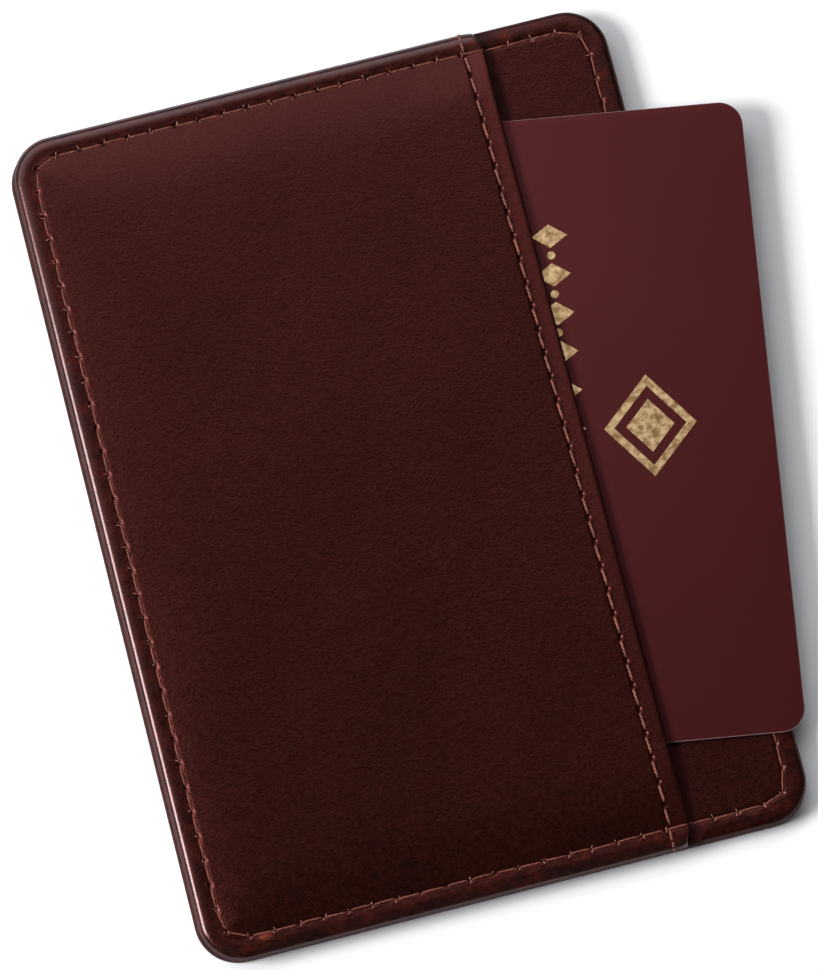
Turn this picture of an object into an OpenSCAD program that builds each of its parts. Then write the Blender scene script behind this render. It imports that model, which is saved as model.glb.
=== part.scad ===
// Flat turned-edge leather card case with one front pocket, and the card it holds.
// The case lies on its back at z = 0. +X runs across the short side, out of the
// pocket's mouth, +Y along the long side and +Z up out of the front.

/* [Case] */
// Width across the short side
case_w = 83; // [76:0.5:96]
// Length along the long side
case_l = 114; // [106:0.5:130]
// Radius of the corners, seen from the front
corner_r = 5.8; // [5.4:0.1:8]
// How far the back leaf stands out past the front leaf on the closed long side
back_ledge = 0.5; // [0.1:0.1:1]

/* [Leather, board and lining] */
// Thickness of the leather on both faces
leather_t = 0.75; // [0.6:0.05:1]
// Thickness of the stiffening boards
board_t = 0.65; // [0.5:0.05:1]
// Thickness of the pared leather that is turned over an edge
turn_t = 0.4; // [0.3:0.05:0.5]
// Thickness of the pocket's leather
pocket_t = 0.6; // [0.5:0.05:0.8]
// Thickness to which the pocket's leather is pared where it wraps round the edges
wrap_t = 0.2; // [0.15:0.05:0.3]
// Thickness of the pocket's lining
lining_t = 0.2; // [0.15:0.05:0.3]

/* [Pocket mouth] */
// Distance from the mouth to the open long edge
mouth_inset = 16.8; // [12:0.2:24]
// Width of the hem turned under at the mouth
hem_w = 8; // [6:0.5:10]
// Thickness of the stiffening strip folded into the hem
strip_t = 0.2; // [0.15:0.05:0.3]
// Distance from the mouth's edge to its row of stitches
mouth_seam_in = 2.4; // [2:0.1:3]

/* [Stitching] */
// Distance from the edge to the row of stitches that joins the two leaves
seam_in = 2.75; // [2.4:0.05:3]
// Distance between needle holes
pitch = 3.3; // [2.5:0.1:4.5]
// Thickness of the needle thread, on the front
needle_thread_d = 0.4; // [0.3:0.05:0.5]
// Thickness of the bobbin thread, on the back and under the hem
bobbin_thread_d = 0.28; // [0.2:0.02:0.3]

/* [Card] */
// Length of the card
card_l = 85.6; // [80:0.1:91]
// Width of the card
card_w = 53.98; // [50:0.01:55]
// Thickness of the card
card_t = 0.76; // [0.6:0.02:0.8]
// Radius of the card's corners
card_r = 3.18; // [2:0.01:4]
// How far the card's centre stands towards the open edge from the case's centre
card_x = 23.2; // [-0.5:0.1:59]
// How far the card's centre stands up the case from the case's centre
card_y = 0.6; // [-4:0.1:4]
// Angle by which the card's top leans towards the open edge
card_lean = 9.1; // [0:0.1:10]
// Free height above and below the card
play = 0.1; // [0.1:0.02:0.2]
// Thickness of the foil stamped on the card
foil_t = 0.04; // [0.03:0.01:0.06]

/* [Hidden] */
$fn = 48;

burgundy = "#4a1517";
board_grey = "#8a8071";
rust_thread = "#8f4130";
card_red = "#571a22";
gold = "#c39a4f";

// Levels, from the back face up
leaf_t = leather_t + board_t + turn_t;
edge_r = leaf_t / 2;
base_z = 2 * leaf_t;
card_z = base_z + play;
ceiling_z = card_z + card_t + foil_t + play;
panel_z = ceiling_z + lining_t;
panel_top = panel_z + pocket_t;
hem_leather_t = (turn_t + pocket_t) / 2;
hem_h = turn_t + strip_t + hem_leather_t;
hem_top = ceiling_z + hem_h;
margin_z = base_z + lining_t;
margin_top = margin_z + pocket_t;

// The front leaf is smaller than the back one by the ledge and the pocket's wrap
front_w = case_w - back_ledge - wrap_t;
front_l = case_l - 2 * wrap_t;
front_x = (back_ledge + wrap_t) / 2;

// Places across the case
mouth_x = case_w / 2 - mouth_inset;
hem_x = mouth_x - hem_w;
mouth_seam_x = mouth_x - mouth_seam_in;
panel_x = front_x - front_w / 2 + corner_r;
panel_l = front_l - 2 * corner_r;
hem_ramp_w = 6;
strip_l = panel_l - 1;

// Places across the edge section, measured outward from the corner's centre
board_end = corner_r - edge_r;
slope_end = corner_r - seam_in - 0.6;
lining_end = corner_r - 1.5;

// Threads lie in pressed grooves on the back, on the open strip and under the hem
groove_side = 0.15;
groove_h = bobbin_thread_d + 0.06;
strip_groove_h = needle_thread_d - 0.04;
strip_thread_z = base_z - strip_groove_h + 0.01 + needle_thread_d / 2;
stitch_gap = 0.5;
far = 2 * case_l;
eps = 0.01;

// The seam that joins the leaves, and how far along it the thread steps off the pocket:
// it starts at the middle of the open side
seam_r = corner_r - seam_in;
seam_w = front_w - 2 * seam_in;
seam_l = front_l - 2 * seam_in;
seam_length = 2 * (seam_w + seam_l) - (8 - 2 * PI) * seam_r;
step_x = mouth_x + stitch_gap / 2;
step_s = (seam_l + seam_w) / 2 - (2 - PI / 2) * seam_r - (step_x - front_x);

function turned(p, a) = [p.x * cos(a) - p.y * sin(a), p.x * sin(a) + p.y * cos(a)];

// The point a length s along a rounded rectangle's outline, which starts at the
// foot of its right side and runs anticlockwise, moved outward by out.
function outline_point(s, w, l, r, out = 0, side = 0) =
    let (run = (side % 2 == 0 ? l : w) - 2 * r,
         across = (side % 2 == 0 ? w : l) / 2,
         a = (s - run) / r * 180 / PI)
    s <= run ? turned([across + out, s - run / 2], 90 * side)
    : a <= 90 ? turned([across - r + (r + out) * cos(a), run / 2 + (r + out) * sin(a)], 90 * side)
    : outline_point(s - run - PI * r / 2, w, l, r, out, side + 1);

function seam_point(s, out) =
    outline_point(s + seam_l / 2 - seam_r, seam_w, seam_l, seam_r, out) + [front_x, 0];

// Needle holes along a stretch of the seam, at an even pitch that ends on both its ends
function seam_holes(from, to, z) =
    let (count = round((to - from) / pitch))
    [for (i = [0 : count])
        let (p = seam_point(from + (to - from) * i / count, 0)) [p.x, p.y, z]];

// The seam's outline, moved outward by out, with a point at every needle hole
function seam_outline(out) =
    let (lengths = [[0, step_s], [step_s, seam_length - step_s], [seam_length - step_s, seam_length]])
    [for (part = lengths)
        let (count = round((part[1] - part[0]) / pitch))
        for (i = [0 : count - 1]) seam_point(part[0] + (part[1] - part[0]) * i / count, out)];

// Sweeps an edge section round a rounded rectangle: its x runs outward from the
// corner's centre, its y is the height.
module round_the_edge(w, l, r) {
    for (side = [0 : 3]) {
        across = side % 2 == 0 ? w : l;
        run = side % 2 == 0 ? l : w;
        rotate(90 * side) translate([across / 2 - r, 0]) {
            rotate([90, 0, 0]) linear_extrude(run - 2 * r, center = true) children();
            translate([0, run / 2 - r]) rotate_extrude(angle = 90) children();
        }
    }
}

module rounded_plate(w, l, r, t) {
    translate([-w / 2 + r, -l / 2 + r]) cube([w - 2 * r, l - 2 * r, t]);
    round_the_edge(w, l, r) square([r, t]);
}

module half_disc(r) {
    intersection() {
        circle(r);
        translate([0, -r]) square([r, 2 * r]);
    }
}

// Section of a turned edge: leather round the end of a board, open on the inside
module turned_edge_section() {
    difference() {
        union() {
            square([board_end, leaf_t]);
            translate([board_end, edge_r]) half_disc(edge_r);
        }
        translate([-eps, leather_t]) square([board_end + eps, board_t]);
    }
}

// One leaf's leather, face down: its face, its edge and its turned-in border
module leaf_leather(w, l) {
    translate([-w / 2 + corner_r, -l / 2 + corner_r])
        cube([w - 2 * corner_r, l - 2 * corner_r, leather_t]);
    round_the_edge(w, l, corner_r) turned_edge_section();
}

module leaf_board(w, l) {
    rounded_plate(w - 2 * edge_r, l - 2 * edge_r, board_end, board_t);
}

// The part of what follows that lies between two places across the case
module between_x(low, high) {
    intersection() {
        children();
        translate([low, -far / 2, -far / 2]) cube([high - low, far, far]);
    }
}

// A straight stitch from one needle hole to the next, clear of both
module stitch(from, to, d) {
    run = to - from;
    length = norm(run);
    translate(from)
        rotate([0, acos(run.z / length), atan2(run.y, run.x)])
            translate([0, 0, stitch_gap / 2]) cylinder(h = length - stitch_gap, d = d);
}

module stitch_row(holes, d) {
    for (i = [0 : len(holes) - 2]) stitch(holes[i], holes[i + 1], d);
}

// The stitches of the seam that joins the leaves; z is given for the open strip's
// thread and for the pocket's
module seam_stitches(strip_z, pocket_z, d) {
    stitch_row(seam_holes(0, step_s, strip_z), d);
    stitch_row(seam_holes(step_s, seam_length - step_s, pocket_z), d);
    stitch_row(seam_holes(seam_length - step_s, seam_length, strip_z), d);
}

// The groove that the seam's thread is pressed into
module seam_groove(thread_d, h) {
    linear_extrude(h) difference() {
        polygon(seam_outline(thread_d / 2 + groove_side));
        polygon(seam_outline(-thread_d / 2 - groove_side));
    }
}

module back_leather() {
    color(burgundy) difference() {
        leaf_leather(case_w, case_l);
        translate([0, 0, -eps]) seam_groove(bobbin_thread_d, groove_h + eps);
    }
}

module back_board() {
    color(board_grey) translate([0, 0, leather_t]) leaf_board(case_w, case_l);
}

// Fills the flat space that the turned-in borders of the two leaves leave between them
module centre_filler() {
    filler_w = front_w - 2 * corner_r - 2 * back_ledge;
    filler_l = front_l - 2 * corner_r;
    color(board_grey) translate([front_x - filler_w / 2, -filler_l / 2, leather_t + board_t])
        cube([filler_w, filler_l, 2 * turn_t]);
}

module front_board() {
    color(board_grey) translate([front_x, 0, leaf_t + turn_t]) leaf_board(front_w, front_l);
}

module base_leather() {
    color(burgundy) difference() {
        translate([front_x, 0, base_z]) mirror([0, 0, 1]) leaf_leather(front_w, front_l);
        between_x(mouth_x, far) translate([0, 0, base_z - strip_groove_h])
            seam_groove(needle_thread_d, leather_t);
    }
}

module lining_edge_section() {
    polygon([[0, ceiling_z], [slope_end, base_z], [lining_end, base_z], [lining_end, margin_z],
             [slope_end, margin_z], [0, panel_z]]);
}

module lining_edge() {
    translate([front_x, 0]) round_the_edge(front_w, front_l, corner_r) lining_edge_section();
}

module pocket_lining() {
    color("#241414") {
        between_x(-far / 2, hem_x) lining_edge();
        translate([panel_x, -panel_l / 2, ceiling_z])
            cube([hem_x - panel_x, panel_l, lining_t]);
    }
}

module mouth_strip() {
    color(board_grey) translate([hem_x, -strip_l / 2, ceiling_z + turn_t])
        cube([hem_w - hem_h / 2, strip_l, strip_t]);
}

module pocket_edge_section() {
    polygon([[0, panel_z], [slope_end, margin_z], [lining_end, margin_z], [lining_end, base_z],
             [board_end, base_z], [board_end, base_z + wrap_t], [lining_end, margin_top],
             [slope_end, margin_top], [0, panel_top]]);
    translate([board_end, base_z - edge_r]) difference() {
        half_disc(edge_r + wrap_t);
        circle(edge_r);
        translate([-edge_r, -far]) square([far, far - edge_r + wrap_t / 2]);
    }
}

// The front panel, its long side folded under round the stiffening strip
module pocket_panel_section() {
    nose_x = mouth_x - hem_h / 2;
    difference() {
        union() {
            polygon([[panel_x, panel_z], [hem_x, panel_z], [hem_x, ceiling_z], [nose_x, ceiling_z],
                     [nose_x, hem_top], [hem_x, hem_top], [hem_x - hem_ramp_w, panel_top],
                     [panel_x, panel_top]]);
            translate([nose_x, ceiling_z + hem_h / 2]) half_disc(hem_h / 2);
        }
        translate([hem_x, ceiling_z + turn_t]) square([hem_w - hem_h / 2, strip_t]);
        translate([mouth_seam_x - bobbin_thread_d / 2 - groove_side, ceiling_z - eps])
            square([bobbin_thread_d + 2 * groove_side, groove_h + eps]);
    }
}

module pocket_leather() {
    color(burgundy) {
        rotate([90, 0, 0]) linear_extrude(panel_l, center = true) pocket_panel_section();
        between_x(-far / 2, mouth_x)
            translate([front_x, 0]) round_the_edge(front_w, front_l, corner_r) pocket_edge_section();
        between_x(hem_x, mouth_x) lining_edge();
    }
}

module front_stitches() {
    color(rust_thread)
        seam_stitches(strip_thread_z, margin_top + needle_thread_d / 2, needle_thread_d);
}

module back_stitches() {
    thread_z = groove_h - eps - bobbin_thread_d / 2;
    color(rust_thread) seam_stitches(thread_z, thread_z, bobbin_thread_d);
}

// Along the hem, then down its end and over the seam that joins the leaves
module mouth_stitches() {
    count = round(panel_l / pitch);
    hem_z = hem_top + needle_thread_d / 2;
    end_z = margin_top + needle_thread_d / 2;
    end_y = front_l / 2 - 1.3;
    color(rust_thread) {
        stitch_row([for (i = [0 : count]) [mouth_seam_x, (i / count - 0.5) * panel_l, hem_z]],
                   needle_thread_d);
        for (end = [-1, 1])
            stitch_row([[mouth_seam_x, end * panel_l / 2, hem_z],
                        [mouth_seam_x, end * seam_l / 2, end_z],
                        [mouth_seam_x, end * end_y, end_z]],
                       needle_thread_d);
    }
}

module hem_under_stitches() {
    reach = panel_l / 2;
    count = round(2 * reach / pitch);
    thread_z = ceiling_z + groove_h - eps - bobbin_thread_d / 2;
    color(rust_thread) stitch_row(
        [for (i = [0 : count])
            [mouth_seam_x, -reach + i * 2 * reach / count, thread_z]],
        bobbin_thread_d);
}

// Places what follows on the card: its own x is across the card, its y along it
module on_card(z) {
    translate([card_x, card_y, z]) rotate(-card_lean) children();
}

module card_blank() {
    color(card_red) on_card(card_z) rounded_plate(card_w, card_l, card_r, card_t);
}

module lozenge(w, l) {
    polygon([[w / 2, 0], [0, l / 2], [-w / 2, 0], [0, -l / 2]]);
}

// A lozenge inside a lozenge-shaped frame
module foil_emblem() {
    emblem_x = 10.5;
    emblem_y = -0.35;
    emblem_w = 12.4;
    emblem_l = 13.8;
    color(gold) on_card(card_z + card_t) translate([emblem_x, emblem_y])
        linear_extrude(foil_t) {
            difference() {
                lozenge(emblem_w, emblem_l);
                lozenge(emblem_w * 0.78, emblem_l * 0.78);
            }
            lozenge(emblem_w * 0.52, emblem_l * 0.52);
        }
}

// A row of lozenges and dots along the card
module foil_border() {
    row_x = -0.45;
    row_pitch = 5.3;
    row_count = 11;
    lozenge_w = 4.8;
    lozenge_l = 3.2;
    dot_d = 1.1;
    row_l = (row_count - 1) * row_pitch;
    color(gold) on_card(card_z + card_t) translate([row_x, -row_l / 2]) linear_extrude(foil_t) {
        for (i = [0 : row_count - 1]) translate([0, i * row_pitch]) lozenge(lozenge_w, lozenge_l);
        for (i = [0 : row_count - 2]) translate([0, (i + 0.5) * row_pitch]) circle(d = dot_d);
    }
}

back_leather();
back_board();
centre_filler();
front_board();
base_leather();
pocket_lining();
mouth_strip();
pocket_leather();
front_stitches();
back_stitches();
mouth_stitches();
hem_under_stitches();
card_blank();
foil_emblem();
foil_border();
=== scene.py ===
import random
from math import atan2, cos, pi, radians, sin

import bmesh
import bpy
import numpy as np
from mathutils import Matrix, Vector


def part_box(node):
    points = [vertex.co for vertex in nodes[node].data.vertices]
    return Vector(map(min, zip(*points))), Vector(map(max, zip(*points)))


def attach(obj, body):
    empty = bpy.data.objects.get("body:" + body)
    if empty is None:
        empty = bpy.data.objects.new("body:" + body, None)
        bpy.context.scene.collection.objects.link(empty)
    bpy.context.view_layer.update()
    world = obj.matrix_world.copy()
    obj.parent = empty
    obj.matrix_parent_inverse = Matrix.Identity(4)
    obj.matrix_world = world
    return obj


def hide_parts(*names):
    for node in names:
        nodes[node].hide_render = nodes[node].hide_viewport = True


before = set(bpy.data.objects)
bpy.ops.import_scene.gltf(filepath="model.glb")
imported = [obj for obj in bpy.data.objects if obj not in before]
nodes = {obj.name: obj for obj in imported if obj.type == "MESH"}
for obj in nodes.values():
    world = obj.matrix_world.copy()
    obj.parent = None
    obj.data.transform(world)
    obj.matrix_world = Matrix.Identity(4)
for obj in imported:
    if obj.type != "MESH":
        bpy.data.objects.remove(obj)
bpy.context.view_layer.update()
mm = 0.001

# ---------------------------------------------------------------- camera
# A long lens stands above the case, a little towards its foot, and is turned so
# that the case leans to the left.
bpy.ops.object.camera_add(location=(-24.19 * mm, -94.65 * mm, 600 * mm),
                          rotation=(radians(9.21), radians(-0.06), radians(-14.35)))
camera = bpy.context.object
camera.data.sensor_fit = "VERTICAL"
camera.data.sensor_height = 24
camera.data.lens = 112.27
camera.data.clip_start = 0.01
bpy.context.scene.camera = camera

# ---------------------------------------------------------------- back leaf
# The back is one piece of polished calf, wrapped round a thin board and glued. Its
# border is turned in on the hidden side, and its seam is sunk so that it lies flat.
corner_r = 5.8 * mm
seam_inset = 2.75 * mm
pitch = 3.3 * mm
skin = 0.35 * mm
turned_in = 3.6 * mm
grid_step = 3.4 * mm
border_end = 5.2 * mm
hole_shade_width = 0.3 * mm
touching = 0.01 * mm
crease_angle = radians(50)
calf_dark = (0.0026, 0.0009, 0.0005)
calf_warm = (0.0170, 0.0033, 0.0017)
calf_rubbed = (0.030, 0.0070, 0.0055)
calf_burnt = (0.0028, 0.0011, 0.0008)
calf_red = (0.055, 0.0062, 0.0030)
# Painted sheen for the folded hem at the pocket's mouth:
calf_hem_sheen = (0.046, 0.0088, 0.0075)
# Painted shadow for the front leaf beside the pocket's mouth:
calf_painted_shadow = (0.0008, 0.0003, 0.0002)
calf_scuffed = (0.15, 0.028, 0.014)
# Painted shade for the needle holes:
calf_hole_shade = (0.0030, 0.0010, 0.0008)


class Signal:
    """A socket in a material's nodes, on which Python arithmetic adds Math nodes."""

    def __init__(self, tree, socket=None):
        self.tree = tree
        self.socket = socket

    def node(self, kind, settings=None, inputs=None, output=0):
        """Adds one node: its settings first, then its inputs, by name or by place."""
        made = self.tree.nodes.new(kind)
        for name, value in (settings or {}).items():
            setattr(made, name, value)
        for name, value in (inputs or {}).items():
            if isinstance(value, Signal):
                self.tree.links.new(value.socket, made.inputs[name])
            else:
                made.inputs[name].default_value = value
        return Signal(self.tree, made.outputs[output])

    def maths(self, operation, *others):
        return self.node("ShaderNodeMath", {"operation": operation},
                         dict(enumerate((self, *others))))

    def __add__(self, other):
        return self.maths("ADD", other)

    def __sub__(self, other):
        return self.maths("SUBTRACT", other)

    def __rsub__(self, other):
        return self.maths("MULTIPLY_ADD", -1.0, other)

    def __mul__(self, other):
        return self.maths("MULTIPLY", other)

    __radd__ = __add__
    __rmul__ = __mul__

    def band(self, low, high):
        """0 below low, 1 above high, and smooth between."""
        return self.node("ShaderNodeMapRange", {"interpolation_type": "SMOOTHSTEP"},
                         {"Value": self, "From Min": low, "From Max": high})

    def bell(self, middle, width):
        """1 at the middle, falling to 0 a width away on either side."""
        return 1 - (self - middle).maths("ABSOLUTE").band(0, width)

    def stretched(self, sizes):
        return self.node("ShaderNodeVectorMath", {"operation": "DIVIDE"}, {0: self, 1: sizes})

    def noise(self, size, detail=2.0, roughness=0.5, stretch=(1, 1, 1)):
        """Clouds of about this size in millimetres, drawn out by stretch."""
        return self.node("ShaderNodeTexNoise", {"noise_dimensions": "3D"},
                         {"Vector": self.stretched([size * s for s in stretch]), "Scale": 1.0,
                          "Detail": detail, "Roughness": roughness})

    def cells(self, size, feature="F1"):
        return self.node("ShaderNodeTexVoronoi", {"feature": feature},
                         {"Vector": self.stretched((size,) * 3), "Scale": 1.0})

    def tint(self, low, high):
        """A colour that is low where this is 0 and high where it is 1."""
        mixed = self.node("ShaderNodeMix", {"data_type": "RGBA"}, {"Factor": self}, 2)
        for place, colour in ((6, low), (7, high)):
            socket = mixed.socket.node.inputs[place]
            if isinstance(colour, Signal):
                self.tree.links.new(colour.socket, socket)
            else:
                socket.default_value = (*colour, 1)
        return mixed

    def bump(self, height, strength=1.0, under=None):
        inputs = {"Height": self, "Distance": height, "Strength": strength}
        if under is not None:
            inputs["Normal"] = under
        return self.node("ShaderNodeBump", None, inputs)


def new_finish(name, **constants):
    """A material with its shader's own sockets set, and the place in it in millimetres."""
    material = bpy.data.materials.new(name)
    material.use_nodes = True
    tree = material.node_tree
    shader = tree.nodes["Principled BSDF"]
    for socket, value in constants.items():
        shader.inputs[socket.replace("_", " ")].default_value = value
    place = Signal(tree).node("ShaderNodeTexCoord", None, None, 3)
    return material, place.node("ShaderNodeVectorMath", {"operation": "SCALE"},
                                {0: place, "Scale": 1 / mm})


def feed(material, **signals):
    shader = material.node_tree.nodes["Principled BSDF"]
    for socket, signal in signals.items():
        material.node_tree.links.new(signal.socket, shader.inputs[socket.replace("_", " ")])


def parts_of(place):
    return [place.node("ShaderNodeSeparateXYZ", None, {0: place}, axis) for axis in range(3)]


def depth_inside(x, y, middle, width, length):
    """How far inside a rounded outline a place lies, in millimetres."""
    r = corner_r / mm
    qx = (x - middle).maths("ABSOLUTE") - (width / 2 - r)
    qy = y.maths("ABSOLUTE") - (length / 2 - r)
    past_x, past_y = qx.maths("MAXIMUM", 0.0), qy.maths("MAXIMUM", 0.0)
    outside = (past_x * past_x + past_y * past_y).maths("SQRT")
    return r - outside - qx.maths("MAXIMUM", qy).maths("MINIMUM", 0.0)


def polished_calf(name, middle, width, length, hem=None, gloss_from=None, mouth=None, scuff=None):
    """Glazed calf, dyed unevenly, with fine pores and burnished borders, and painted shade in
    the needle holes. In millimetres: hem is the middle and the half width of a painted sheen
    on the folded hem, brighter towards the top end, gloss_from the height at which the rim is
    polished, mouth the line of the pocket's mouth, up to 2 mm past which the leather gets a painted
    shadow, scuff a rubbed place."""
    material, place = new_finish(name, IOR=1.5, Specular_IOR_Level=0.35,
                                 Specular_Tint=(1.0, 0.24, 0.22, 1), Coat_Roughness=0.16,
                                 Coat_IOR=1.5)
    x, y, z = parts_of(place)
    depth = depth_inside(x, y, middle / mm, width / mm, length / mm)
    mottle = place.noise(0.75, 4, 0.66)
    fleck = place.noise(0.25, 2, 0.6, (1.5, 0.8, 1))
    cloud = place.noise(17, 2, 0.5)
    patch = place.noise(1.7, 3, 0.6)
    dye = (mottle * 0.45 + fleck * 0.55).band(0.34, 0.68)
    colour = (dye * 0.8 + cloud.band(0.35, 0.7) * 0.2).tint(calf_dark, calf_warm)
    border = 1 - depth.band(2.6, 3.6)
    colour = (border * patch.band(0.48, 0.62) * 0.7).tint(colour, calf_burnt)
    red = (border * (patch * 0.6 + mottle * 0.4).band(0.50, 0.34) * 0.55)
    colour = red.tint(colour, calf_red)
    if hem is not None:
        # Painted sheen: a lighter band along the folded hem, stronger towards the top end, where the
        # light catches the hem.
        painted_hem_sheen = x.bell(hem[0], hem[1]) * z.band(3.9, 4.6)
        painted_hem_sheen = painted_hem_sheen * (0.30 + y.band(-45, 20) * 0.70)
        colour = (painted_hem_sheen * (0.45 + mottle * 0.5)).tint(colour, calf_hem_sheen)
    wall = depth.band(0.35, 0.0)
    rough = 0.25 + dye * 0.08 + border * 0.03 + wall * 0.4
    if mouth is not None:
        # Painted shadow: up to about 2 mm past the pocket's mouth the leather is painted nearly
        # black and made rougher, where the pocket's edge casts its shadow.
        painted_mouth_shadow = x.band(mouth + 2.1, mouth + 1.0)
        colour = painted_mouth_shadow.tint(colour, calf_painted_shadow)
        rough = rough + painted_mouth_shadow * 0.35
    if scuff is not None:
        rubbed_x = (x - scuff[0]) * 0.6 + (patch - 0.5)
        rubbed_y = (y - scuff[1]) * 1.2 + (mottle - 0.5)
        rubbed = (rubbed_x * rubbed_x + rubbed_y * rubbed_y).maths("SQRT")
        colour = (rubbed.band(0.8, 0.25) * fleck.band(0.35, 0.55)).tint(colour, calf_scuffed)
    # Painted shade: the leather is darkened in the needle holes, where shade falls in the dents.
    dent = place.node("ShaderNodeAttribute", {"attribute_name": "dent"}, None, 2)
    colour = (dent * 0.85).tint(colour, calf_hole_shade)
    rim = 1 - depth.band(0.2, 1.5)
    edge = 1 - depth.band(0.9, 1.9)
    if gloss_from is not None:
        edge = edge * z.band(gloss_from, gloss_from + 0.5)
    else:
        edge = edge * 0.25
    colour = (rim * mottle.band(0.45, 0.7) * 0.5).tint(colour, calf_rubbed)
    grain = (place.cells(0.36) * 0.5 + fleck * 0.5).bump(0.034 * mm, 0.9)
    wrinkles = place.cells(1.5, "DISTANCE_TO_EDGE").band(0.0, 0.10) * cloud.band(0.42, 0.60)
    waves = (place.noise(5, 3, 0.5) + wrinkles * 0.18).bump(0.06 * mm, 0.5, grain)
    creases = (border * (patch - 0.5)).bump(0.10 * mm, 0.5, waves)
    feed(material, Base_Color=colour, Roughness=rough,
         Coat_Weight=(fleck.band(0.42, 0.66) * 0.05 + border * 0.02
                      + edge * (0.30 + mottle * 0.45)) * (1 - wall), Normal=creases)
    return material


def dress(piece, material, slot, body, *replaced):
    """Gives a piece its finish, and says what it rides on and what it stands for."""
    piece.data.materials.clear()
    piece.data.materials.append(material)
    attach(piece, body)
    if replaced:
        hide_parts(*replaced)


def refinish(material, *names):
    for name in names:
        nodes[name].data.materials.clear()
        nodes[name].data.materials.append(material)


def seam_point(s, width, length, r):
    """The point a length s along a rounded outline, from the middle of its right side."""
    s += length / 2 - r
    side = 0
    while True:
        run, across = (length, width / 2) if side % 2 == 0 else (width, length / 2)
        run -= 2 * r
        if s <= run:
            point = (across, s - run / 2)
            break
        angle = (s - run) / r
        if angle <= pi / 2:
            point = (across - r + r * cos(angle), run / 2 + r * sin(angle))
            break
        s -= run + pi * r / 2
        side += 1
    return Matrix.Rotation(side * pi / 2, 2) @ Vector(point)


back_low, back_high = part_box("back_leather")
base_low, base_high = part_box("base_leather")
pocket_low, pocket_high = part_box("pocket_leather")
front_w = base_high.x - base_low.x
front_l = base_high.y - base_low.y
front_x = (base_low.x + base_high.x) / 2
mouth_x = pocket_high.x


def seam_holes():
    """The needle holes round the case: one stands where the thread steps off the pocket."""
    r = corner_r - seam_inset
    width = front_w - 2 * seam_inset
    length = front_l - 2 * seam_inset
    whole = 2 * (width + length) - (8 - 2 * pi) * r
    step = (length + width) / 2 - (2 - pi / 2) * r - (mouth_x + 0.25 * mm - front_x)
    places = []
    for start, end in ((0, step), (step, whole - step), (whole - step, whole)):
        count = round((end - start) / pitch)
        for i in range(count):
            point = seam_point(start + (end - start) * i / count, width, length, r)
            places.append((point.x + front_x, point.y))
    return np.array(places)


holes = seam_holes()


def pick(piece, kind, test):
    """Selects, in edit mode, the edges or faces whose corners pass the test."""
    bpy.ops.mesh.select_mode(type=kind.upper())
    bpy.ops.mesh.select_all(action="DESELECT")
    shape = bmesh.from_edit_mesh(piece.data)
    for part in (shape.edges if kind == "edge" else shape.faces):
        if not part.hide and test([corner.co for corner in part.verts]):
            part.select_set(True)
    bmesh.update_edit_mesh(piece.data)


def cut_lines(axis, places):
    """Cuts everything that shows in edit mode at each of these places along an axis."""
    for place in places:
        bpy.ops.mesh.select_all(action="SELECT")
        bpy.ops.mesh.bisect(plane_co=[place if i == axis else 0 for i in range(3)],
                            plane_no=[float(i == axis) for i in range(3)])


def even_places(low, high, step):
    count = max(2, round((high - low) / step))
    return np.linspace(low, high, count + 1)[1:-1]


def is_whole_side(corners):
    return len(corners) > 20


def wrapped_slab(name, low, high, face, face_r, hidden_r, loops, columns):
    """Leather wrapped over a board: a block rounded at its corners and rims, with loops of
    edges close together along the seam of the face (+1 above, -1 below) and its other side
    open inside the turned-in border."""
    size = high - low
    face_z, hidden_z = (high.z, low.z) if face > 0 else (low.z, high.z)
    bpy.ops.object.select_all(action="DESELECT")
    bpy.ops.mesh.primitive_cube_add(size=1, location=(low + high) / 2, scale=size)
    slab = bpy.context.object
    slab.name = name
    bpy.ops.object.transform_apply(location=True, rotation=True, scale=True)
    bpy.ops.object.mode_set(mode="EDIT")
    pick(slab, "edge", lambda c: abs(c[0].z - c[1].z) > touching)
    bpy.ops.mesh.bevel(offset=corner_r, segments=18, affect="EDGES")
    for rim_z, rim_r, steps in ((face_z, face_r, 6), (hidden_z, hidden_r, 4)):
        pick(slab, "edge", lambda c: max(abs(p.z - rim_z) for p in c) < touching)
        bpy.ops.mesh.bevel(offset=rim_r, segments=steps, affect="EDGES")
    pick(slab, "face", is_whole_side)
    bpy.ops.mesh.delete(type="ONLY_FACE")
    for axis in (0, 1):
        pick(slab, "edge", lambda c: abs(c[0][axis] - c[1][axis]) > 20 * mm)
        bpy.ops.mesh.subdivide(number_cuts=round((size[axis] - 2 * corner_r) / pitch) - 1)
    pick(slab, "edge", lambda c: (c[0] - c[1]).length > 2 * mm)
    bpy.ops.mesh.subdivide(number_cuts=columns - 1)
    for rim_z, steps in ((hidden_z, [turned_in / 3] * 3),
                         (face_z, np.diff([face_r / mm, *loops]) * mm)):
        pick(slab, "edge", lambda c: max(abs(p.z - rim_z) for p in c) < touching)
        bpy.ops.mesh.edge_face_add()
        pick(slab, "face", is_whole_side)
        for step in steps:
            bpy.ops.mesh.inset(thickness=step, use_even_offset=True)
        if rim_z == hidden_z:
            bpy.ops.mesh.delete(type="FACE")
    return slab


def cross_cuts(slab, low, high, inset):
    """Cuts the one big face in the middle into squares, so that it can be shaped."""
    pick(slab, "face", is_whole_side)
    bpy.ops.mesh.hide(unselected=True)
    cut_lines(0, even_places(low.x + inset, high.x - inset, grid_step))
    cut_lines(1, even_places(low.y + inset, high.y - inset, grid_step))
    bpy.ops.mesh.reveal(select=False)


def places_of(piece):
    flat = np.empty(len(piece.data.vertices) * 3)
    piece.data.vertices.foreach_get("co", flat)
    return flat.reshape(-1, 3)


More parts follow.
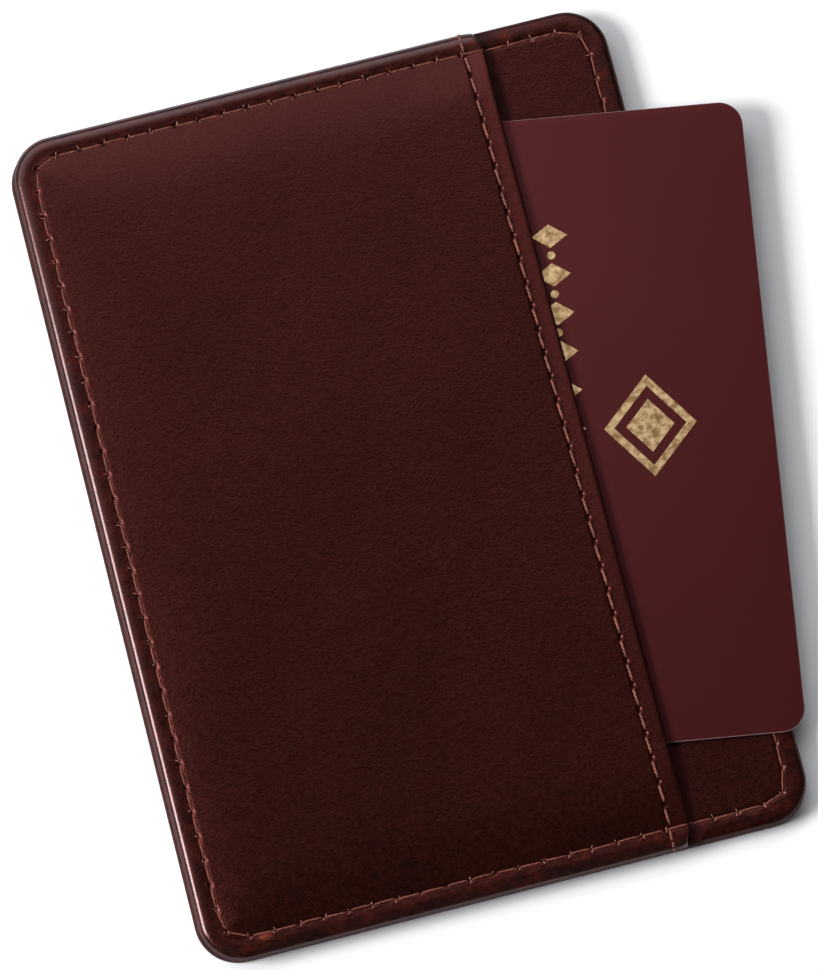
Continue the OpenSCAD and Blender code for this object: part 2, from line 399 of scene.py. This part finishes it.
def move_to(piece, places):
    piece.data.vertices.foreach_set("co", places.ravel())
    piece.data.update()


def inside_depth(x, y, low, high):
    """How far inside a rounded outline points lie: low and high are its box."""
    qx = np.abs(x - (low.x + high.x) / 2) - (high.x - low.x) / 2 + corner_r
    qy = np.abs(y - (low.y + high.y) / 2) - (high.y - low.y) / 2 + corner_r
    outside = np.hypot(np.maximum(qx, 0), np.maximum(qy, 0))
    return corner_r - outside - np.minimum(np.maximum(qx, qy), 0)


def gather_at_holes(places, low, high, pull=0.62, reach=0.9 * mm):
    """Slides the lines across a straight seam together where the needle holes are."""
    for axis, other in ((1, 0), (0, 1)):
        for edge, sign in ((low[other], 1), (high[other], -1)):
            seam = edge + sign * seam_inset
            row = np.sort(holes[np.abs(holes[:, other] - seam) < reach, axis])
            if not len(row):
                continue
            ends = (low[axis] + corner_r, high[axis] - corner_r)
            here = ((places[:, other] - edge) * sign < corner_r) & \
                   (places[:, axis] > ends[0]) & (places[:, axis] < ends[1])
            along = places[here, axis]
            gap = along - row[np.argmin(np.abs(along[:, None] - row[None, :]), axis=1)]
            fade = np.clip((np.minimum(along - ends[0], ends[1] - along)) / (2 * mm), 0, 1)
            wave = np.where(np.abs(gap) < pitch / 2, np.sin(2 * pi * gap / pitch), 0)
            places[here, axis] = along - pull * pitch / (2 * pi) * wave * fade


def distance_to_row(x, y, row, closed=True):
    """How far points lie from a row of straight stitches."""
    nearest = np.full(x.shape, 1.0)
    ends = np.roll(row, -1, axis=0) if closed else row[1:]
    for (ax, ay), (bx, by) in zip(row, ends):
        dx, dy = bx - ax, by - ay
        along = np.clip(((x - ax) * dx + (y - ay) * dy) / (dx * dx + dy * dy), 0, 1)
        nearest = np.minimum(nearest, np.hypot(x - ax - along * dx, y - ay - along * dy))
    return nearest


def distance_to_holes(x, y, row):
    nearest = np.full(x.shape, 1.0)
    for hx, hy in row:
        nearest = np.minimum(nearest, np.hypot(x - hx, y - hy))
    return nearest


def hump(distance, width):
    return np.exp(-(distance / width) ** 2)


def rise(value, low, high):
    t = np.clip((value - low) / (high - low), 0, 1)
    return t * t * (3 - 2 * t)


def seam_relief(x, y, row, closed, groove, dent, lip):
    """What a row of stitches does to the leather: a groove, dents and raised lips."""
    near = distance_to_row(x, y, row, closed)
    hole = distance_to_holes(x, y, row)
    return (-groove * hump(near, 0.32 * mm) - dent * hump(hole, 0.22 * mm)
            + lip * hump(hole - 0.46 * mm, 0.16 * mm))


def finish_leather(piece, hole_shade):
    """Marks the dents for painted shade in the holes, gives the skin its thickness and smooths it.
    """
    marks = piece.data.attributes.new("dent", "FLOAT", "POINT")
    marks.data.foreach_set("value", hole_shade)
    bpy.ops.object.select_all(action="DESELECT")
    piece.select_set(True)
    bpy.context.view_layer.objects.active = piece
    solid = piece.modifiers.new("thickness", "SOLIDIFY")
    solid.thickness = skin
    solid.offset = -1
    bpy.ops.object.modifier_apply(modifier=solid.name)
    bpy.ops.object.shade_smooth_by_angle(angle=crease_angle)


leaf_r = 0.89 * mm
seam_loops = [1.2, 1.55, 1.85, 2.1, 2.3, 2.46, 2.6, 2.75, 2.9, 3.04, 3.2, 3.4, 3.7, 4.1, 4.6, 5.2]

back = wrapped_slab("back_leaf", back_low, back_high, -1, leaf_r, leaf_r, seam_loops, 8)
cross_cuts(back, back_low, back_high, border_end)
bpy.ops.object.mode_set(mode="OBJECT")
spots = places_of(back)
gather_at_holes(spots, back_low, back_high)
x, y, z = spots.T.copy()
face_side = z < back_low.z + 0.5 * mm
relief = seam_relief(x, y, holes, True, 0.20 * mm, 0.18 * mm, 0)
spots[:, 2] -= np.where(face_side & (inside_depth(x, y, back_low, back_high) > 1.2 * mm), relief, 0)
move_to(back, spots)
finish_leather(back, hump(distance_to_holes(x, y, holes), hole_shade_width) * face_side)
dress(back, polished_calf("back_calf", 0, back_high.x - back_low.x, back_high.y - back_low.y),
      "case_leather", "case", "back_leather")

# ---------------------------------------------------------------- boards and filler
# Grey board stiffens each leaf, and a filler levels the space between the turned-in
# borders. They are glued in and hidden.


def greyboard():
    material, place = new_finish("greyboard", Specular_IOR_Level=0.2)
    fibres = place.noise(0.6, 4, 0.7)
    feed(material, Base_Color=fibres.tint((0.30, 0.27, 0.23), (0.47, 0.43, 0.37)),
         Roughness=0.85 + fibres * 0.1, Normal=fibres.bump(0.03 * mm))
    return material


board = greyboard()
refinish(board, "back_board", "centre_filler", "front_board")

# ---------------------------------------------------------------- front leaf
# The front leaf is wrapped like the back one. Only its strip beside the pocket's
# mouth shows, with the seam pressed into it. Under the pocket its rim is skived.
skived = 0.25 * mm
gloss_from = 3.5

front = wrapped_slab("front_leaf", base_low, base_high, 1, leaf_r, leaf_r, seam_loops, 8)
cross_cuts(front, base_low, base_high, border_end)
bpy.ops.object.mode_set(mode="OBJECT")
spots = places_of(front)
gather_at_holes(spots, base_low, base_high)
x, y, z = spots.T
open_strip = rise(x, mouth_x - 2 * mm, mouth_x - 1 * mm)
depth = inside_depth(x, y, base_low, base_high)
face_side = (z > base_high.z - 0.5 * mm) & (depth > 0.8 * mm)
relief = seam_relief(x, y, holes, True, 0.09 * mm, 0.18 * mm, 0.05 * mm)
swell = 0.04 * mm * rise(depth, 1.0 * mm, 1.5 * mm) * (1 - rise(depth, 1.6 * mm, 2.4 * mm))
under = 1 - open_strip
spots[:, 2] += np.where(face_side, (relief + swell) * open_strip - skived * under, 0)
rim = under * (1 - rise(depth, 0.6 * mm, 2 * mm)) * skived
spots[:, 0] += rim * (x < base_low.x + 6 * mm)
spots[:, 1] -= rim * np.sign(y) * (np.abs(y) > base_high.y - corner_r)
move_to(front, spots)
finish_leather(front, hump(distance_to_holes(x, y, holes), hole_shade_width) * face_side)
# Its strip gets a painted shadow beside the pocket's mouth.
dress(front, polished_calf("front_calf", front_x, front_w, front_l, gloss_from=gloss_from,
                           mouth=mouth_x / mm), "case_leather", "case", "base_leather")

# ---------------------------------------------------------------- pocket
# The pocket is a panel of the same calf, glued down and wrapped over three edges of
# the front leaf. Its fourth side is folded under at the mouth and stitched.
margin_z = pocket_high.z - 1.3 * mm
level_from = mouth_x - 20 * mm
seam_zone = 1.3 * mm
panel_rise = 0.146
rise_start = 2.8 * mm
rise_bend = 6.0 * mm
rise_ease = 2.0 * mm
hem_rise = 0.34 * mm
fold_r = 0.38 * mm
hem_layer = 0.90 * mm
hem_depth = 7.5 * mm
mouth_seam_x = mouth_x - 2.4 * mm
nose_x = mouth_x - fold_r
wrap_bottom = base_low.z + 0.15 * mm
rim_r = 1.25 * mm
foot_r = 0.85 * mm
pocket_end = mouth_x + 14 * mm
cross_y = front_l / 2 - seam_inset
row_end = front_l / 2 - corner_r
mouth_holes = np.array([[mouth_seam_x, y] for y in
                        [-cross_y, *np.linspace(-row_end, row_end, 32), cross_y]])
slab_low = Vector((pocket_low.x, pocket_low.y, wrap_bottom))
slab_high = Vector((pocket_end, pocket_high.y, margin_z))


def slope(depth):
    """Height that the panel has gained at a depth inside the border."""
    straight = np.clip(depth - rise_start, 0, rise_bend - rise_start)
    eased = rise_ease * (1 - np.exp(-np.maximum(depth - rise_bend, 0) / rise_ease))
    return panel_rise * (straight + eased)


full_rise = panel_rise * (rise_bend - rise_start + rise_ease)


def panel_height(x, y):
    """Height of the pocket's outer face above its glued border, without its seams."""
    depth = inside_depth(x, y, slab_low, slab_high)
    height = slope(depth)
    ends = slope(pocket_high.y - np.abs(y)) / full_rise
    hem = rise(x, mouth_x - 11 * mm, mouth_x - 3.5 * mm) * ends
    height = np.where(x > level_from, slope(pocket_high.y - np.abs(y)), height)
    sway = (np.sin(x / (9 * mm) + 1.3) * np.sin(y / (13 * mm) + 0.4)
            + 0.6 * np.sin(x / (4.1 * mm) - y / (6.3 * mm)))
    return height + hem * hem_rise + 0.03 * mm * sway * height / full_rise


pocket = wrapped_slab("pocket_panel", slab_low, slab_high, 1, rim_r, foot_r,
                      [loop for loop in seam_loops if loop > 1.3], 8)
bpy.ops.mesh.select_all(action="SELECT")
bpy.ops.mesh.bisect(plane_co=(nose_x, 0, 0), plane_no=(1, 0, 0), clear_outer=True)
cross_cuts(pocket, slab_low, Vector((mouth_seam_x - seam_zone, slab_high.y, 0)), border_end)
pick(pocket, "face", lambda c: sum(p.x for p in c) / len(c) > mouth_seam_x - 4 * mm)
bpy.ops.mesh.hide(unselected=True)
seam_lines = np.array([-1.3, -0.9, -0.6, -0.4, -0.26, -0.13, 0, 0.13, 0.26, 0.4, 0.6, 0.9, 1.3, 1.7])
cut_lines(0, mouth_seam_x + seam_lines * mm)
bpy.ops.mesh.reveal(select=False)
inner_y = slab_high.y - border_end
pick(pocket, "face", lambda c: max(abs(p.x - mouth_seam_x) for p in c) < seam_zone + touching
     and max(abs(p.y) for p in c) < inner_y + touching)
bpy.ops.mesh.hide(unselected=True)
hole_lines = (-1.0 * mm, -0.45 * mm, -0.2 * mm, 0, 0.2 * mm, 0.45 * mm, 1.0 * mm)
cut_lines(1, [hole + line for hole in mouth_holes[1:-1, 1] for line in hole_lines
              if abs(hole + line) < inner_y])
bpy.ops.mesh.reveal(select=False)
pick(pocket, "edge", lambda c: min(p.x for p in c) > nose_x - touching)
turn = [i * pi / 8 for i in range(9)]
moves = [(fold_r * (sin(b) - sin(a)), fold_r * (cos(b) - cos(a))) for a, b in zip(turn, turn[1:])]
for forward, outward in moves + [(-1 * mm, 0), (-3 * mm, 0), (3.4 * mm - hem_depth, 0)]:
    bpy.ops.mesh.extrude_edges_move()
    shape = bmesh.from_edit_mesh(pocket.data)
    for corner in shape.verts:
        if corner.select:
            side = abs(corner.co.y)
            high = corner.co.z > slab_high.z - rim_r
            r = rim_r if high else foot_r
            above = max(corner.co.z - (slab_high.z - rim_r), 0) if high else \
                min(corner.co.z - (slab_low.z + foot_r), 0)
            beside = max(side - (slab_high.y - r), 0) * (1 if corner.co.y > 0 else -1)
            corner.co += Vector((0, beside, above)).normalized() * outward
            corner.co.x += forward
    bmesh.update_edit_mesh(pocket.data)
bpy.ops.object.mode_set(mode="OBJECT")

spots = places_of(pocket)
gather_at_holes(spots, slab_low, slab_high)
x, y, z = spots.T
depth = np.where(x < level_from, inside_depth(x, y, slab_low, slab_high),
                 slab_high.y - np.abs(y))
layer = np.clip((z - (margin_z - 2 * fold_r)) / (2 * fold_r), 0, 1)
folded = x > mouth_x - hem_depth - 1 * mm
lifted = depth > rim_r
height = panel_height(x, y)
raised = height / (full_rise + hem_rise)
low_layer = height - (hem_layer - 2 * fold_r) * raised
relief = seam_relief(x, y, holes, True, 0.055 * mm, 0.18 * mm, 0.04 * mm)
relief += seam_relief(x, y, mouth_holes, False, 0.12 * mm, 0.18 * mm, 0.04 * mm)
relief -= 0.05 * mm * hump(np.abs(x - mouth_seam_x - 0.45 * mm), 0.25 * mm) * (np.abs(y) < row_end)
swell = 0.04 * mm * rise(depth, 1.2 * mm, 1.7 * mm) * (1 - rise(depth, 1.8 * mm, 2.5 * mm))
on_top = layer > 0.97
panel = np.where(folded, low_layer + (height - low_layer) * layer, height)
spots[:, 2] += np.where(lifted, panel, 0)
spots[:, 2] += np.where(on_top & (depth > 1.1 * mm), relief + swell, 0)
trimmed = rise(np.abs(y), slab_high.y - 2.6 * mm, slab_high.y - 0.4 * mm)
spots[:, 0] -= 0.8 * mm * trimmed * rise(x, mouth_x - 2.2 * mm, mouth_x - 0.8 * mm)
spots[:, 1] -= 0.16 * mm * np.sign(y) * trimmed * rise(x, mouth_x - 2 * mm, mouth_x - 0.6 * mm)
move_to(pocket, spots)
hole_near = np.minimum(distance_to_holes(x, y, holes), distance_to_holes(x, y, mouth_holes))
finish_leather(pocket, hump(hole_near, hole_shade_width) * on_top)
# The pocket gets a painted sheen along its folded hem.
calf = polished_calf("pocket_calf", (slab_low.x + slab_high.x) / 2, slab_high.x - slab_low.x,
                     slab_high.y - slab_low.y, hem=((mouth_x - 0.9 * mm) / mm, 1.5),
                     gloss_from=gloss_from, scuff=(-32.9, -54.5))
dress(pocket, calf, "case_leather", "case", "pocket_leather")

# ---------------------------------------------------------------- lining and hem strip
# A thin dark satin is glued behind the pocket's panel, and a strip of board keeps
# the folded hem straight. Both follow the panel's inner side.


def lining_satin():
    material, place = new_finish("lining_satin", Specular_IOR_Level=0.4)
    rib = place.node("ShaderNodeTexWave", {"bands_direction": "X"}, {"Vector": place, "Scale": 2.2})
    feed(material, Base_Color=rib.tint((0.012, 0.006, 0.006), (0.03, 0.014, 0.013)),
         Roughness=0.45 + rib * 0.2, Normal=rib.bump(0.02 * mm))
    return material


def behind_panel(name, low_x, high_x, half_y, below, thickness):
    """A thin layer that lies a distance below the pocket's outer face."""
    bpy.ops.object.select_all(action="DESELECT")
    bpy.ops.mesh.primitive_plane_add(size=1, location=((low_x + high_x) / 2, 0, margin_z))
    layer = bpy.context.object
    layer.name = name
    layer.scale = (high_x - low_x, 2 * half_y, 1)
    bpy.ops.object.transform_apply(location=True, rotation=True, scale=True)
    bpy.ops.object.mode_set(mode="EDIT")
    bpy.ops.mesh.subdivide(number_cuts=50)
    bpy.ops.object.mode_set(mode="OBJECT")
    spots = places_of(layer)
    spots[:, 2] += panel_height(spots[:, 0], spots[:, 1]) - below
    move_to(layer, spots)
    solid = layer.modifiers.new("thickness", "SOLIDIFY")
    solid.thickness = thickness
    solid.offset = -1
    bpy.ops.object.modifier_apply(modifier=solid.name)
    bpy.ops.object.shade_smooth_by_angle(angle=crease_angle)
    return layer


lining = behind_panel("pocket_lining_satin", pocket_low.x + 3.3 * mm, mouth_x - hem_depth + 0.6 * mm,
                      pocket_high.y - 3.3 * mm, skin + 0.01 * mm, 0.06 * mm)
dress(lining, lining_satin(), "lining", "case", "pocket_lining")
strip = behind_panel("hem_strip", mouth_x - 5.5 * mm, mouth_x - 0.9 * mm, pocket_high.y - 5 * mm,
                     skin + 0.12 * mm, 0.10 * mm)
dress(strip, board, "board", "case", "mouth_strip")

# ---------------------------------------------------------------- stitches
# Rust thread, two plies twisted together. Each stitch rises from a needle hole, lies
# in the pressed groove and dives into the next one, where a few fibres stand up.
needle_d = 0.25 * mm
mouth_d = 0.38 * mm
chance = random.Random(7)


def rust_thread(name, dark, light):
    material, place = new_finish(name, Specular_IOR_Level=0.4)
    uv = place.node("ShaderNodeTexCoord", None, None, 2)
    around, along, _ = parts_of(uv)
    ply = ((around * 2 + along * 9) * (2 * pi)).maths("SINE") * 0.5 + 0.5
    wear = place.noise(1.1, 3, 0.6)
    colour = (ply * 0.55 + wear.band(0.3, 0.7) * 0.45).tint(dark, light)
    feed(material, Base_Color=colour, Roughness=0.55 + wear * 0.2, Normal=ply.bump(0.05 * mm, 0.6))
    return material


thread = rust_thread("rust_thread", (0.055, 0.012, 0.007), (0.28, 0.075, 0.042))


def model_stitch(thickness, sides, rings):
    """One stitch a millimetre long on +X, its crown on +Z and its ends bent down."""
    bpy.ops.object.select_all(action="DESELECT")
    bpy.ops.mesh.primitive_cylinder_add(vertices=sides, radius=thickness / 2, depth=1 * mm,
                                        rotation=(0, pi / 2, 0), end_fill_type="NGON")
    stitch = bpy.context.object
    bpy.ops.object.transform_apply(location=True, rotation=True, scale=True)
    bpy.ops.object.mode_set(mode="EDIT")
    cut_lines(0, [(i / rings - 0.5) * mm for i in range(1, rings)])
    bpy.ops.object.mode_set(mode="OBJECT")
    for vertex in stitch.data.vertices:
        t = vertex.co.x / mm + 0.5
        twist = t * 2.5 * pi
        lobes = 1 + 0.14 * cos(2 * (atan2(vertex.co.z, vertex.co.y) - twist))
        end = min(1.0, 5 * min(t, 1 - t))
        taper = lobes * (0.55 + 0.45 * end)
        vertex.co.y *= taper
        vertex.co.z = vertex.co.z * taper - thickness * 1.1 * (1 - end) ** 2
    bpy.ops.object.shade_smooth()
    return stitch


def sew(name, pattern, row, sway):
    """Copies the stitch to every gap of a row of (start, end, up) and joins the copies."""
    copies = []
    for start, end, up in row:
        run = end - start
        copy = pattern.copy()
        copy.data = pattern.data.copy()
        bpy.context.collection.objects.link(copy)
        bow = chance.uniform(-sway, sway)
        for vertex in copy.data.vertices:
            vertex.co.y += bow * (1 - (2 * vertex.co.x / mm) ** 2)
        x = run.normalized()
        y = up.cross(x).normalized()
        turn = Matrix((x * run.length / mm, y, x.cross(y))).transposed().to_4x4()
        copy.data.transform(Matrix.Translation((start + end) / 2) @ turn)
        copies.append(copy)
    bpy.ops.object.select_all(action="DESELECT")
    for copy in copies:
        copy.select_set(True)
    bpy.context.view_layer.objects.active = copies[0]
    bpy.ops.object.join()
    piece = bpy.context.object
    piece.name = name
    return piece


def beside_hole(point, z, jitter):
    return Vector((point[0] + chance.uniform(-jitter, jitter),
                   point[1] + chance.uniform(-jitter, jitter), z))


up = Vector((0, 0, 1))
needle_stitch = model_stitch(needle_d, 6, 8)
front_row = []
for a, b in zip(holes, np.roll(holes, -1, axis=0)):
    z = (margin_z if (a[0] + b[0]) / 2 < mouth_x + 0.2 * mm else base_high.z) - 0.03 * mm
    front_row.append((beside_hole(a, z, 0.06 * mm), beside_hole(b, z, 0.06 * mm), up))
front_thread = sew("front_thread", needle_stitch, front_row, 0.07 * mm)
dress(front_thread, thread, "thread", "case", "front_stitches")

back_z = back_low.z + 0.17 * mm
back_row = [(beside_hole(a, back_z, 0.03 * mm), beside_hole(b, back_z, 0.03 * mm), -up)
            for a, b in zip(holes, np.roll(holes, -1, axis=0))]
back_thread = sew("back_thread", needle_stitch, back_row, 0.04 * mm)
dress(back_thread, thread, "thread", "case", "back_stitches")
bpy.data.objects.remove(needle_stitch)


def mouth_face(y):
    return margin_z + float(panel_height(np.array([mouth_seam_x]), np.array([y]))[0])


mouth_stitch = model_stitch(mouth_d, 8, 12)
slant = 0.10 * mm
dive = 0.28 * mm
mouth_row = []
under_row = []
for (ax, ay), (bx, by) in zip(mouth_holes, mouth_holes[1:]):
    start = Vector((ax + slant, ay + dive, mouth_face(ay) + 0.02 * mm))
    end = Vector((bx - slant, by - dive, mouth_face(by) + 0.02 * mm))
    mouth_row.append((start, end, up))
    drop = up * (hem_layer + 0.02 * mm)
    under_row.append((start - drop, end - drop, -up))
# At both ends the row runs on over the margin and down the rim: y, z and lean of each hole.
over_rim = [(cross_y + 0.1 * mm, margin_z + 0.02 * mm, 0),
            (slab_high.y - rim_r, margin_z + 0.02 * mm, 0),
            (slab_high.y - 0.40 * mm, margin_z - 0.32 * mm, 0.6),
            (slab_high.y + 0.04 * mm, margin_z - 1.1 * mm, 1.3)]
for sign in (-1, 1):
    for (ay, az, _), (by, bz, lean) in zip(over_rim, over_rim[1:]):
        mouth_row.append((Vector((mouth_seam_x - 0.1 * mm, sign * ay, az)),
                          Vector((mouth_seam_x - 0.2 * mm, sign * by, bz)),
                          Vector((0, sign * sin(lean), cos(lean)))))
mouth_thread = sew("mouth_thread", mouth_stitch, mouth_row, 0.05 * mm)
dress(mouth_thread, rust_thread("mouth_rust_thread", (0.030, 0.007, 0.005), (0.32, 0.095, 0.060)),
      "thread", "case", "mouth_stitches")
under_thread = sew("under_thread", mouth_stitch, under_row[1:-1], 0.02 * mm)
under_thread.data.transform(Matrix.Translation((0, 0, 0.1 * mm)))
dress(under_thread, thread, "thread", "case", "hem_under_stitches")
bpy.data.objects.remove(mouth_stitch)

# Fibres: short ends that the needle has pulled up at each hole, coloured much lighter than the
# thread as a painted glint where the holes' lips catch the light.
bpy.ops.object.select_all(action="DESELECT")
bpy.ops.mesh.primitive_cone_add(vertices=4, radius1=0.075 * mm, radius2=0.03 * mm, depth=1 * mm,
                                rotation=(0, pi / 2, 0))
fibre = bpy.context.object
bpy.ops.object.transform_apply(location=True, rotation=True, scale=True)
bpy.ops.object.mode_set(mode="EDIT")
cut_lines(0, [-0.15 * mm, 0.15 * mm])
bpy.ops.object.mode_set(mode="OBJECT")
for vertex in fibre.data.vertices:
    vertex.co.z -= 0.9 * (vertex.co.x ** 2) / mm
fibre_row = []
for i, (hx, hy) in enumerate(holes):
    ahead = Vector((*(holes[(i + 1) % len(holes)] - holes[i - 1]), 0)).normalized()
    across = up.cross(ahead)
    z = (margin_z if hx < mouth_x + 0.2 * mm else base_high.z) + 0.08 * mm
    for side in (-1, -1, 1, 1):
        if chance.random() < 0.45:
            continue
        reach = chance.uniform(0.25, 0.7) * mm
        lean = chance.uniform(-0.5, 0.9) * side
        root = Vector((hx, hy, z)) + across * side * 0.08 * mm
        root += ahead * chance.uniform(-0.3, 0.3) * mm
        fibre_row.append((root, root + (across * side + ahead * lean).normalized() * reach, up))
fibres = sew("needle_fibres", fibre, fibre_row, 0)
bpy.data.objects.remove(fibre)
dress(fibres, rust_thread("fibres_painted_glint", (0.22, 0.07, 0.045), (0.58, 0.27, 0.20)), "thread", "case")

# ---------------------------------------------------------------- card
# A plastic card printed in satin burgundy, laminated and punched out, so that its
# cut edge shows the paler core.
card_w = 53.98 * mm
card_l = 85.6 * mm
card_t = 0.76 * mm
card_r = 3.18 * mm
card_lean = radians(9.1)
card_low, card_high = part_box("card_blank")
card_middle = (card_low + card_high) / 2

bpy.ops.object.select_all(action="DESELECT")
bpy.ops.mesh.primitive_cube_add(size=1, scale=(card_w, card_l, card_t))
card = bpy.context.object
card.name = "printed_card"
bpy.ops.object.transform_apply(location=True, rotation=True, scale=True)
bpy.ops.object.mode_set(mode="EDIT")
pick(card, "edge", lambda c: abs(c[0].z - c[1].z) > 0.1 * mm)
bpy.ops.mesh.bevel(offset=card_r, segments=16, affect="EDGES")
pick(card, "edge", lambda c: abs(c[0].z - c[1].z) < 0.01 * mm)
bpy.ops.mesh.bevel(offset=0.09 * mm, segments=3, affect="EDGES")
bpy.ops.object.mode_set(mode="OBJECT")
spots = places_of(card)
edges = card.data.attributes.new("edge", "FLOAT", "POINT")
edges.data.foreach_set("value", (np.abs(spots[:, 2]) < card_t / 2 - 0.005 * mm).astype(float))
card.data.transform(Matrix.Translation(card_middle) @ Matrix.Rotation(-card_lean, 4, "Z"))
bpy.ops.object.shade_smooth_by_angle(angle=radians(30))


def printed_plastic():
    material, place = new_finish("printed_plastic", Specular_IOR_Level=0.25,
                                 Specular_Tint=(1.0, 0.38, 0.40, 1))
    cloud = place.noise(30, 2, 0.5)
    speck = place.noise(0.3, 2, 0.6)
    _, y, _ = parts_of(place)
    # The print is painted lighter towards the card's +y end as a painted fall of light, mixed with a
    # random mottle in the print.
    print_and_painted_falloff = y.band(-40, 45) * 0.7 + (cloud * 0.6 + speck * 0.4).band(0.3, 0.7) * 0.3
    colour = print_and_painted_falloff.tint((0.035, 0.0048, 0.0052), (0.058, 0.0086, 0.0090))
    edge = place.node("ShaderNodeAttribute", {"attribute_name": "edge"}, None, 2)
    core = place.noise(0.5, 2, 0.6).tint((0.16, 0.09, 0.085), (0.36, 0.25, 0.23))
    feed(material, Base_Color=edge.tint(colour, core), Roughness=0.46 + speck * 0.08,
         Normal=speck.bump(0.003 * mm, 0.5))
    return material


dress(card, printed_plastic(), "card", "card", "card_blank")


def gold_foil():
    material, place = new_finish("gold_foil", Metallic=1.0)
    mottle = place.noise(1.1, 4, 0.65)
    colour = mottle.band(0.35, 0.65).tint((0.30, 0.165, 0.065), (0.70, 0.49, 0.26))
    feed(material, Base_Color=colour, Roughness=0.30 + mottle * 0.2,
         Normal=mottle.bump(0.03 * mm, 0.8))
    return material


refinish(gold_foil(), "foil_emblem", "foil_border")

# ---------------------------------------------------------------- floor and light
# A plain near-white table, a lamp at the left that draws the bright line along the
# rim, and a wide softbox beyond the head that gives the panel its sheen.
bpy.ops.object.select_all(action="DESELECT")
bpy.ops.mesh.primitive_plane_add(size=6, location=(0, 0, -0.02 * mm))
floor = bpy.context.object
floor.name = "floor"
bpy.ops.object.transform_apply(location=True, rotation=True, scale=True)
floor_paint, floor_place = new_finish("floor_paint", Roughness=0.9, Specular_IOR_Level=0.1)
feed(floor_paint, Base_Color=floor_place.noise(60).tint((0.90, 0.90, 0.90), (0.92, 0.92, 0.92)))
floor.data.materials.append(floor_paint)


def lamp(name, place, width, height, power):
    bpy.ops.object.light_add(type="AREA", location=place)
    light = bpy.context.object
    light.name = name
    light.data.shape = "RECTANGLE"
    light.data.size = width
    light.data.size_y = height
    light.data.energy = power
    light.rotation_euler = (-Vector(place)).to_track_quat("-Z", "Y").to_euler()


lamp("left_lamp", (-0.78, 0.05, 0.64), 0.40, 0.40, 13)
world = bpy.data.worlds.new("room")
bpy.context.scene.world = world
world.use_nodes = True
sky = Signal(world.node_tree)
across, ahead, above = parts_of(sky.node("ShaderNodeTexCoord"))
beside = (across + 0.3).maths("ABSOLUTE")
softbox = ahead.band(0.06, 0.5) * above.band(0.35, 0.70) * (1 - beside.band(0.35, 0.8))
background = world.node_tree.nodes["Background"]
background.inputs["Color"].default_value = (0.95, 0.96, 1.0, 1)
world.node_tree.links.new((0.10 + softbox * 3.0).socket, background.inputs["Strength"])
bpy.context.scene.view_settings.view_transform = "Standard"
